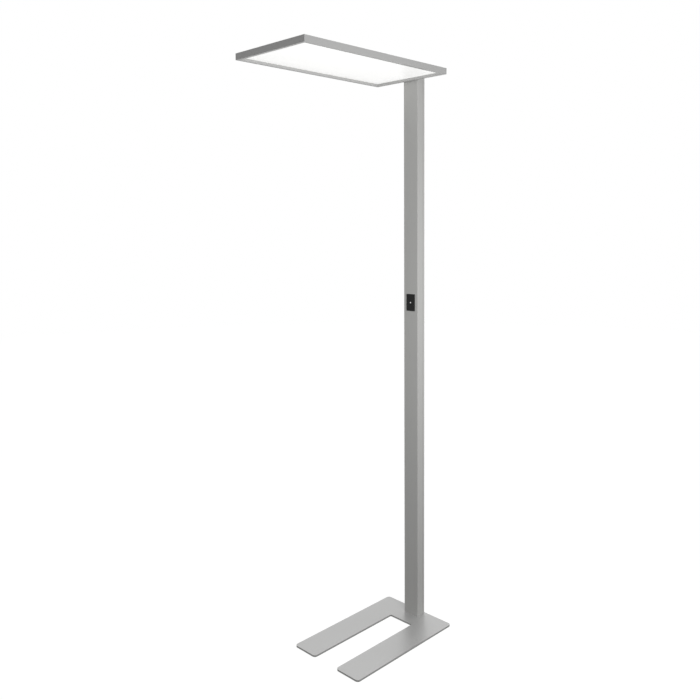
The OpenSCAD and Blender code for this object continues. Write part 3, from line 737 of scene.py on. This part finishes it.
def head_openings(sizes, back, front):
    """Cutters along X for the carrier's two arms and for the cable between them."""
    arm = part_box("head_carrier")[1]
    cutters = []
    for side in SIDES:
        near, far = sorted((side * sizes.arm_gap / 2, side * arm.y))
        cutters.append(box("window", (back, near - GAP, arm.z - sizes.arm_thick - GAP),
                           (front, far + GAP, arm.z + GAP)))
    low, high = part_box("cable_grommet")
    cutters.append(lying_rod("cable_hole", back, front, (low.z + high.z) / 2,
                             (high.z - low.z) / 2 + GAP, sides=48))
    return cutters


class LAMP_OT_base(Operator):
    """Forked steel base plate with its countersunk screws and rubber pads"""
    bl_idname = "lamp.base"
    bl_label = "Base"

    def execute(self, context):
        sizes, finishes = settings_of(context)
        low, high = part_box("base_plate")
        self.plate(sizes, finishes, low, high)
        self.pads(sizes, finishes, low, high)
        self.screws(sizes, finishes)
        return {"FINISHED"}

    def plate(self, sizes, finishes, low, high):
        """A flat sheet, split and notched in edit mode, thickened, its corners rounded."""
        slot_x = low.x + sizes.slot_back
        slot_y = sizes.slot_width / 2
        thick = high.z - low.z
        clear_selection()
        bpy.ops.mesh.primitive_plane_add(size=1, location=((low.x + high.x) / 2, 0, low.z))
        sheet = bpy.context.object
        sheet.scale = (high.x - low.x, high.y - low.y, 1)
        plate = settle(sheet, "forked_base_plate")
        edit(plate)
        slice_at((slot_x, 0, 0), (1, 0, 0))
        slice_at((0, slot_y, 0), (0, 1, 0))
        slice_at((0, -slot_y, 0), (0, 1, 0))
        pick_faces(plate, lambda c, n: c.x > slot_x and abs(c.y) < slot_y)
        bpy.ops.mesh.delete(type="FACE")
        drop_flat_edges()
        select_all()
        push(z=thick)
        select_all()
        bpy.ops.mesh.normals_make_consistent(inside=False)
        pick_edges(plate, lambda a, b: is_along(a, b, 2) and a.x < slot_x + NEAR
                   and abs(a.y) < slot_y + NEAR)
        bevel(sizes.slot_corner, segments=8)
        pick_edges(plate, lambda a, b: is_along(a, b, 2)
                   and min(abs(a.x - low.x), abs(a.x - high.x)) < NEAR)
        bevel(sizes.base_corner, segments=12)
        close()
        size = sizes.base_screw
        play = sizes.base_screw_play
        for x, y in screw_places("base_screws", size):
            cut(plate, [rod("sink", (x, y, low.z + size / 4 - NEAR), size + play, size / 2 + NEAR,
                            sides=48, radius_end=size / 2 + play)])
            cut(plate, [rod("shaft", (x, y, (low.z + high.z) / 2), size / 2 + play, thick + PAST,
                            sides=48)])
        soften(plate, sizes.plate_edge)
        coat = satin_coat("silver_powder_coat", finishes.base_coat, metallic=0.4, roughness=0.36)
        finish(plate, coat, ["base_plate"])
        # Painted shade: the steep part of the edge's rounds takes a darker coat that stands in for
        # the shade along the plate's edges
        steep = 0.4
        painted_edge_shade = satin_coat("edge_painted_shade", finishes.plate_edge, metallic=0.3, roughness=0.45)
        second_finish(plate, painted_edge_shade, lambda c, n: abs(n.z) < steep)

    def pads(self, sizes, finishes, low, high):
        """Round rubber pads with a shallow dish in their foot."""
        thick = low.z
        pad = rod("pad", (0, 0, thick / 2), sizes.pad_width / 2, thick, sides=72)
        edit(pad)
        pick_faces(pad, lambda c, n: n.z < -FACING)
        inset(sizes.pad_rim)
        inset(sizes.pad_ring)
        push(z=sizes.pad_dish)
        close()
        soften(pad, MOULD_ROUND, segments=2)
        away = sizes.pad_inset
        xs = (low.x + away, (low.x + high.x) / 2, high.x - away)
        places = [(x, side * (high.y - away), 0) for x in xs for side in SIDES]
        group = repeat(pad, places, "base_pad_set")
        finish(group, pad_rubber(finishes), ["base_pads"])

    def screws(self, sizes, finishes):
        """Countersunk screws with a hexagon socket, heads down."""
        low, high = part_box("base_screws")
        screw = countersunk_screw("base_screw", sizes.base_screw, high.z - low.z)
        screw.rotation_euler = (math.pi, 0, 0)
        settle(screw)
        places = [(x, y, low.z) for x, y in screw_places("base_screws", sizes.base_screw)]
        group = repeat(screw, places, "base_screw_set")
        finish(group, zinc_plate(finishes), ["base_screws"])


class LAMP_OT_column(Operator):
    """Open-backed column extrusion, its clip-on rear cover, its top cap and the cord gland"""
    bl_idname = "lamp.column"
    bl_label = "Column"

    def execute(self, context):
        sizes, finishes = settings_of(context)
        coat = extruded_coat("silver_extrusion", finishes.column_coat, roughness=0.52, along=2)
        self.extrusion(sizes, coat)
        self.rear_cover(sizes, coat)
        self.cap(sizes, finishes)
        self.gland(sizes, finishes)
        return {"FINISHED"}

    def extrusion(self, sizes, coat):
        """Three faces of a box with turned-in lips, given a wall, cut for the panel and arms."""
        low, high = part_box("column_profile")
        column = box("column_extrusion", low, high)
        turn_in = sizes.column_wall + sizes.lip
        edit(column)
        pick_faces(column, lambda c, n: abs(n.z) > FACING or n.x < -FACING)
        bpy.ops.mesh.delete(type="FACE")
        for side in SIDES:
            pick_edges(column, lambda a, b: is_along(a, b, 2) and abs(a.x - low.x) < NEAR
                       and abs(a.y - side * high.y) < NEAR)
            push(y=-side * turn_in)
        pick_edges(column, lambda a, b: is_along(a, b, 2) and abs(a.x - high.x) < NEAR)
        bevel(sizes.column_edge, segments=6)
        close()
        thicken(column, sizes.column_wall)
        inside = high.x - 2 * sizes.column_wall
        outside = high.x + PAST
        box_low, box_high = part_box("control_box")
        half_box = box_high.y - sizes.box_hook + GAP
        panel_window = box("window", (inside, -half_box, box_low.z - GAP),
                           (outside, half_box, box_high.z + GAP))
        cut(column, [panel_window, *head_openings(sizes, inside, outside)])
        soften(column, CUT_ROUND, segments=2)
        finish(column, coat, ["column_profile"])

    def rear_cover(self, sizes, coat):
        """Shallow channel with a round hole for the gland."""
        low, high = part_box("rear_cover")
        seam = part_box("column_profile")[0].x - sizes.seam
        cover = box("column_rear_cover", low, (seam, high.y, high.z))
        edit(cover)
        pick_faces(cover, lambda c, n: abs(n.z) > FACING or n.x > FACING)
        bpy.ops.mesh.delete(type="FACE")
        pick_edges(cover, lambda a, b: is_along(a, b, 2) and abs(a.x - low.x) < NEAR)
        bevel(sizes.column_edge, segments=6)
        close()
        thicken(cover, sizes.cover_wall)
        gland_low, gland_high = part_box("cable_gland")
        height = (gland_low.z + gland_high.z) / 2
        reach = 2 * sizes.cover_wall
        cut(cover, [lying_rod("hole", low.x - reach, low.x + reach, height,
                              sizes.gland_width / 2 + GAP)])
        soften(cover, CUT_ROUND, segments=2)
        finish(cover, coat, ["rear_cover"])

    def cap(self, sizes, finishes):
        """Moulded plate with rounded corners, a shallow dish and two legs that plug in."""
        low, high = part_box("column_cap")
        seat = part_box("column_profile")[1].z
        cap = box("column_top_cap", (low.x, low.y, seat), high)
        edit(cap)
        pick_faces(cap, lambda c, n: n.z > FACING)
        inset(sizes.cap_rim)
        inset(sizes.cap_ring)
        push(z=-sizes.cap_dish)
        pick_edges(cap, lambda a, b: is_along(a, b, 2) and abs(abs(a.y) - high.y) < NEAR)
        bevel(sizes.column_edge, segments=6)
        close()
        soften(cap, sizes.cap_edge)
        outer = high.y - sizes.column_wall - GAP
        legs = []
        for side in SIDES:
            near, far = sorted((side * outer, side * (outer - sizes.leg_thick)))
            legs.append(box("leg", (low.x + sizes.leg_back, near, low.z),
                            (low.x + sizes.leg_front, far, seat + OVERLAP)))
        join([cap, *legs], "column_top_cap")
        plastic = moulded("cap_plastic", finishes.column_coat, 0.5, 1100, 0.03)
        finish(cap, plastic, ["column_cap"])

    def gland(self, sizes, finishes):
        """Grooved flange and a bored body for the mains cord."""
        low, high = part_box("cable_gland")
        height = (low.z + high.z) / 2
        neck = low.x + sizes.gland_flange
        gland = lying_rod("cord_gland", low.x, neck, height, (high.z - low.z) / 2, sides=72)
        groove_degrees = 15
        groove_narrowing = 0.96
        edit(gland)
        pick_faces(gland, lambda c, n: abs(n.x) < 1 - FACING and int(
            math.degrees(math.atan2(c.z - height, c.y)) // groove_degrees) % 2 == 0)
        inset(sizes.gland_rib)
        push()
        widen(groove_narrowing, ((low.x + neck) / 2, 0, height))
        close()
        body = lying_rod("body", neck, high.x, height, sizes.gland_width / 2)
        for part in (gland, body):
            cut(part, [lying_rod("bore", low.x - PAST, high.x + PAST, height,
                                 sizes.gland_bore / 2)])
        soften(gland, PLATE_ROUND, segments=2)
        join([gland, body], "cord_gland")
        plastic = moulded("gland_plastic", finishes.gland, 0.45, 1000, 0.04)
        finish(gland, plastic, ["cable_gland"])


class LAMP_OT_controls(Operator):
    """Black control panel with its push button, light dot and spring"""
    bl_idname = "lamp.controls"
    bl_label = "Controls"

    def execute(self, context):
        sizes, finishes = settings_of(context)
        black = gloss_black("gloss_black", finishes.black)
        low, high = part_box("control_panel")
        height = (low.z + high.z) / 2
        panel = box("control_face", low, high)
        edit(panel)
        pick_edges(panel, lambda a, b: is_along(a, b, 0))
        bevel(sizes.panel_corner, segments=6)
        close()
        cut(panel, [lying_rod("hole", low.x - PAST, high.x + PAST, height,
                              sizes.key_width / 2 + sizes.key_gap, sides=96)])
        soften(panel, PLATE_ROUND)
        finish(panel, black, ["control_panel"])
        self.key(sizes, black, height)
        self.dot(sizes, finishes, height)
        self.spring(sizes, finishes)
        return {"FINISHED"}

    def key(self, sizes, black, height):
        """Round key: a dished face with a pocket for the dot, a wider flange and a stem behind."""
        low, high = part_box("push_button")
        radius = sizes.key_width / 2
        flange_radius = radius + sizes.key_flange
        stem_front = low.x + sizes.key_stem_long
        back = stem_front + sizes.key_flange_thick
        key = lying_rod("round_key", back, high.x, height, radius, sides=96)
        edit(key)
        pick_faces(key, lambda c, n: n.x > FACING)
        inset(sizes.key_rim)
        push(x=-sizes.key_dish)
        inset(radius - sizes.key_rim - sizes.dot_width / 2 - sizes.dot_play)
        push(x=-sizes.dot_pocket)
        pick_faces(key, lambda c, n: n.x < -FACING)
        push()
        widen(flange_radius / radius, (back, 0, height))
        push(x=stem_front - back)
        inset(flange_radius - sizes.key_stem / 2)
        push(x=low.x - stem_front)
        close()
        soften(key, CUT_ROUND)
        finish(key, black, ["push_button"], KEY_BODY)

    def dot(self, sizes, finishes, height):
        """Small lens with a rounded rim."""
        low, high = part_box("indicator_dot")
        dot = lying_rod("light_dot", low.x, high.x, height, sizes.dot_width / 2, sides=48)
        edit(dot)
        pick_faces(dot, lambda c, n: n.x > FACING)
        inset(sizes.dot_rim)
        close()
        soften(dot, MOULD_ROUND)
        plastic = moulded("dot_plastic", finishes.dot, 0.3, 400, 0.01, coat=0.3)
        finish(dot, plastic, ["indicator_dot"], KEY_BODY)

    def spring(self, sizes, finishes):
        """Spring behind the button, merged from the CAD mesh."""
        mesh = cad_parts["button_spring"].data.copy()
        spring = bpy.data.objects.new("press_spring", mesh)
        bpy.context.scene.collection.objects.link(spring)
        edit(spring)
        select_all()
        bpy.ops.mesh.remove_doubles(threshold=NEAR)
        close()
        shade_smooth(spring, degrees=60)
        steel = plated_steel("spring_steel", finishes.steel)
        finish(spring, steel, ["button_spring"])
        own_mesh(spring)


class LAMP_OT_head_frame(Operator):
    """Four mitred rails round the light"""
    bl_idname = "lamp.head_frame"
    bl_label = "Head frame"

    def execute(self, context):
        sizes, finishes = settings_of(context)
        right_low, right_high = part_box("rail_right")
        rear_low, rear_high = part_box("rail_rear")
        x0, x1 = right_low.x, right_high.x
        y0, y1 = rear_low.y, rear_high.y
        z0 = right_low.z
        height = right_high.z - z0
        # Each rail's length, the corner where it starts, its turn and the axis that it runs along
        placing = {
            "rail_right": (x1 - x0, (x0, y0, z0), 0, 0),
            "rail_left": (x1 - x0, (x1, y1, z0), math.pi, 0),
            "rail_front": (y1 - y0, (x1, y0, z0), math.pi / 2, 1),
            "rail_rear": (y1 - y0, (x0, y1, z0), -math.pi / 2, 1),
        }
        for node, (long, corner, turn, along) in placing.items():
            rail = self.rail("frame_" + node, sizes, long, height)
            rail.rotation_euler = (0, 0, turn)
            rail.location = corner
            settle(rail)
            if node == "rail_rear":
                depth = sizes.rail_wall + sizes.ledge
                cut(rail, head_openings(sizes, x0 - PAST, x0 + depth + PAST))
            soften(rail, sizes.rail_edge)
            coat = extruded_coat("silver_rail_" + "xy"[along], finishes.frame_coat,
                                 roughness=0.38, along=along)
            finish(rail, coat, [node])
        return {"FINISHED"}

    def rail(self, name, sizes, long, height):
        """A border strip along X, its outer wall and ledge drawn out of it, mitred at both ends."""
        wall = sizes.rail_wall
        ledge_top = height - sizes.lid_thick
        ledge_foot = ledge_top - sizes.ledge_thick
        rail = box(name, (0, 0, 0), (long, sizes.border, sizes.recess))
        edit(rail)
        slice_at((0, wall, 0), (0, 1, 0))
        pick_faces(rail, lambda c, n: n.z > FACING and c.y < wall)
        push(z=height - sizes.recess)
        slice_at((0, 0, ledge_foot), (0, 0, 1))
        slice_at((0, 0, ledge_top), (0, 0, 1))
        pick_faces(rail, lambda c, n: n.y > FACING and c.y < wall + NEAR
                   and ledge_foot < c.z < ledge_top)
        push(y=sizes.ledge)
        slice_at((0, 0, 0), (1, -1, 0), drop_behind=True)
        slice_at((long, 0, 0), (-1, -1, 0), drop_behind=True)
        drop_flat_edges()
        close()
        return rail


class LAMP_OT_light(Operator):
    """Lit opal diffuser"""
    bl_idname = "lamp.light"
    bl_label = "Light"

    def execute(self, context):
        sizes, finishes = settings_of(context)
        low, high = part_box("diffuser")
        sheet = box("opal_diffuser", low, high)
        edit(sheet)
        pick_faces(sheet, lambda c, n: n.z < -FACING)
        inset(sizes.light_rim)
        bpy.ops.mesh.subdivide(number_cuts=3)
        close()
        soften(sheet, MOULD_ROUND, segments=2)
        opal = lit_opal("lit_opal", finishes.opal, finishes.light, finishes.light_level)
        finish(sheet, opal, ["diffuser"])
        return {"FINISHED"}


class LAMP_OT_lid(Operator):
    """Sheet lid of the head with its countersunk screws"""
    bl_idname = "lamp.lid"
    bl_label = "Lid"

    def execute(self, context):
        sizes, finishes = settings_of(context)
        low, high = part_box("top_cover")
        size = sizes.lid_screw
        play = sizes.lid_screw_play
        places = {"cover_screws": self.rim_places(sizes),
                  "arm_screws": screw_places("arm_screws", size, columns=3)}
        lid = box("head_lid", low, high)
        cut(lid, [rod("sink", (x, y, high.z - size / 4 + NEAR), size / 2 + play,
                      size / 2 + 2 * NEAR, sides=32, radius_end=size + play)
                  for group in places.values() for x, y in group])
        soften(lid, PLATE_ROUND, segments=2)
        coat = satin_coat("silver_sheet_coat", finishes.frame_coat, metallic=0.25, roughness=0.4)
        finish(lid, coat, ["top_cover"])
        for node, group in places.items():
            screw_low, screw_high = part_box(node)
            screw = countersunk_screw("lid_screw", size, screw_high.z - screw_low.z)
            spots = [(x, y, high.z) for x, y in group]
            screws = repeat(screw, spots, node.replace("screws", "screw_set"))
            finish(screws, zinc_plate(finishes), [node])
        return {"FINISHED"}

    def rim_places(self, sizes):
        """Four screws along each long rail and two along each short one."""
        low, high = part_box("cover_screws")
        rail_low, rail_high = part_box("rail_right")
        head_radius = sizes.lid_screw
        end = sizes.lid_screw_end
        spread = rail_high.x - rail_low.x - 2 * end
        xs = [rail_low.x + end + spread * step / 3 for step in range(4)]
        sides = [(x, y) for x in xs for y in (low.y + head_radius, high.y - head_radius)]
        half_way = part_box("rail_rear")[1].y / 2
        ends = [(x, side * half_way) for x in (low.x + head_radius, high.x - head_radius)
                for side in SIDES]
        return sides + ends


class LAMP_OT_inner_parts(Operator):
    """Finishes of the pieces inside the column and the head"""
    bl_idname = "lamp.inner_parts"
    bl_label = "Inner parts"

    def execute(self, context):
        _, finishes = settings_of(context)
        zinc = zinc_plate(finishes)
        aluminium = plated_steel("mill_aluminium", (0.72, 0.72, 0.73), 0.42)
        black = moulded("black_plastic", (0.03, 0.03, 0.031), 0.5)
        nylon = moulded("nylon", (0.72, 0.70, 0.62), 0.45, 700, 0.02)
        sheath = moulded("cable_sheath", (0.03, 0.03, 0.03), 0.55, 500, 0.03)
        dressed = {
            "foot_block": aluminium, "corner_keys": aluminium,
            "foot_lock_screws": zinc, "driver_tray": zinc, "tray_screws": zinc,
            "terminal_screw": zinc, "driver_screws": zinc, "board_screws": zinc,
            "head_carrier": zinc, "carrier_screws": zinc,
            "gland_nut": black, "control_box": black, "tact_switch": black,
            "terminal_block": nylon, "board_plug": nylon, "head_connector": nylon,
            "cable_grommet": pad_rubber(finishes), "head_cable": sheath, "control_wires": sheath,
            "led_driver": moulded("driver_case", (0.78, 0.78, 0.76), 0.4, 800, 0.02),
            "mains_wires": moulded("blue_insulation", (0.03, 0.08, 0.42), 0.4, 500, 0.02),
            "strip_wires": moulded("red_insulation", (0.42, 0.03, 0.02), 0.4, 500, 0.02),
            "control_board": circuit_board("board_green"),
            "light_guide": moulded("guide_acrylic", (0.85, 0.90, 0.90), 0.12, 300, 0.005, coat=0.5),
            "reflector_sheet": moulded("white_film", (0.90, 0.90, 0.90), 0.5, 900, 0.01),
            "led_strips": moulded("strip_mask", (0.84, 0.84, 0.80), 0.4, 700, 0.01),
            "led_chips": moulded("phosphor", (0.80, 0.60, 0.08), 0.35, 900, 0.02),
            "foam_pads": moulded("foam", (0.06, 0.06, 0.06), 0.9, 350, 0.5),
        }
        for node, surface in dressed.items():
            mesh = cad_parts[node].data
            mesh.materials.clear()
            mesh.materials.append(surface)
        return {"FINISHED"}


# ---- Studio --------------------------------------------------------------------


class LAMP_OT_studio(Operator):
    """Pale floor, soft backdrop, softbox and the camera"""
    bl_idname = "lamp.studio"
    bl_label = "Studio"

    def execute(self, context):
        settings = context.scene.lamp_studio
        self.floor(settings)
        self.backdrop(context.scene, settings)
        self.softbox(context.scene, settings)
        self.camera(context.scene, settings)
        context.scene.view_settings.view_transform = "Standard"
        return {"FINISHED"}

    def floor(self, settings):
        """A wide disc, whiter to the eye than to the light, so that it keeps a pale shadow."""
        clear_selection()
        bpy.ops.mesh.primitive_circle_add(vertices=96, radius=settings.floor_radius,
                                          fill_type="NGON", location=(0, 0, 0))
        floor = bpy.context.object
        floor.name = "studio_floor"
        paint = bpy.data.materials.new("studio_floor")
        paint.use_nodes = True
        recipe = Recipe(paint.node_tree)
        x, y, _ = recipe.axes(recipe.place())
        dust = recipe.ripple(3, 2.0)
        reach = settings.floor_near_reach
        far = ((x * x + y * y) / (reach * reach)).held()
        level = (settings.floor_near + far * (settings.floor_far - settings.floor_near)
                 + dust * 0.01)
        dim = recipe.add("ShaderNodeBsdfDiffuse", inputs={"Color": recipe.tint((1, 1, 1), level)})
        pale = recipe.add("ShaderNodeBsdfDiffuse", inputs={"Color": grey(settings.floor_pale)})
        white = recipe.add("ShaderNodeEmission", inputs={
            "Color": grey(1), "Strength": settings.floor_glow})
        look = recipe.mix(settings.floor_white, pale, white)
        surface = recipe.mix(recipe.looked_at(), dim, look)
        recipe.add("ShaderNodeOutputMaterial", inputs={"Surface": surface})
        floor.data.materials.append(paint)

    def backdrop(self, scene, settings):
        """Pale surroundings, lighter behind the lamp, above and to its left, white to the eye."""
        world = bpy.data.worlds.new("studio_backdrop")
        world.use_nodes = True
        recipe = Recipe(world.node_tree)
        x, y, z = recipe.axes(recipe.add("ShaderNodeTexCoord", output="Generated"))
        diagonal = math.sqrt(0.5)
        behind = (x * -diagonal + y * -diagonal).held()
        to_left = y * diagonal - x * diagonal
        level = (settings.backdrop_front + to_left * settings.backdrop_slant
                 + behind * (settings.backdrop_behind + to_left * settings.behind_slant)
                 + z.held() * settings.backdrop_top)
        level = level.held().most(recipe.looked_at())
        surface = recipe.add("ShaderNodeBackground", inputs={
            "Color": recipe.tint((1, 1, 1), level), "Strength": 1.0})
        recipe.add("ShaderNodeOutputWorld", inputs={"Surface": surface})
        scene.world = world

    def softbox(self, scene, settings):
        """A soft lamp at chest height to the lamp's left, which the eye doesn't see."""
        data = bpy.data.lights.new("softbox", "AREA")
        data.size = settings.softbox_width
        data.energy = settings.softbox_power
        lamp = bpy.data.objects.new("softbox", data)
        scene.collection.objects.link(lamp)
        lamp.location = settings.softbox_place
        lamp.visible_camera = False
        aim = Vector(settings.softbox_aim) - lamp.location
        lamp.rotation_euler = aim.to_track_quat("-Z", "Y").to_euler()

    def camera(self, scene, settings):
        """The photograph's view: a lens tilted slightly down, with a little shift."""
        data = bpy.data.cameras.new("camera")
        data.sensor_width = settings.sensor_width
        data.lens = settings.focal_length
        data.shift_y = settings.lens_shift
        camera = bpy.data.objects.new("camera", data)
        scene.collection.objects.link(camera)
        heading, pitch = settings.camera_heading, settings.camera_pitch
        roll = settings.camera_roll
        aim = Vector((math.cos(pitch) * math.cos(heading), math.cos(pitch) * math.sin(heading),
                      math.sin(pitch)))
        turn = aim.to_track_quat("-Z", "Y").to_matrix()
        right, up = turn.col[0].copy(), turn.col[1].copy()
        turn.col[0] = right * math.cos(roll) + up * math.sin(roll)
        turn.col[1] = up * math.cos(roll) - right * math.sin(roll)
        camera.matrix_world = turn.to_4x4()
        camera.location = settings.camera_place
        scene.camera = camera


PIECES = [LAMP_OT_base, LAMP_OT_column, LAMP_OT_controls, LAMP_OT_head_frame, LAMP_OT_light,
          LAMP_OT_lid, LAMP_OT_inner_parts, LAMP_OT_studio]


class LAMP_PT_tools(Panel):
    """The lamp's operators, in the order in which they are made"""
    bl_idname = "LAMP_PT_tools"
    bl_label = "Floor lamp"
    bl_space_type = "VIEW_3D"
    bl_region_type = "UI"
    bl_category = "Floor lamp"

    def draw(self, context):
        column = self.layout.column(align=True)
        for piece in PIECES:
            column.operator(piece.bl_idname)


CLASSES = [LampSizes, LampFinishes, StudioSettings, *PIECES, LAMP_PT_tools]


def register():
    """Makes the classes and their settings known to Blender."""
    for kind in CLASSES:
        bpy.utils.register_class(kind)
    bpy.types.Scene.lamp_sizes = PointerProperty(type=LampSizes)
    bpy.types.Scene.lamp_finishes = PointerProperty(type=LampFinishes)
    bpy.types.Scene.lamp_studio = PointerProperty(type=StudioSettings)


def unregister():
    """Takes the settings and classes away again."""
    del bpy.types.Scene.lamp_studio
    del bpy.types.Scene.lamp_finishes
    del bpy.types.Scene.lamp_sizes
    for kind in reversed(CLASSES):
        bpy.utils.unregister_class(kind)


def main():
    """Builds every piece and the studio."""
    register()
    for piece in PIECES:
        group, action = piece.bl_idname.split(".")
        getattr(getattr(bpy.ops, group), action)()
    clear_selection()


if __name__ == "__main__":
    main()
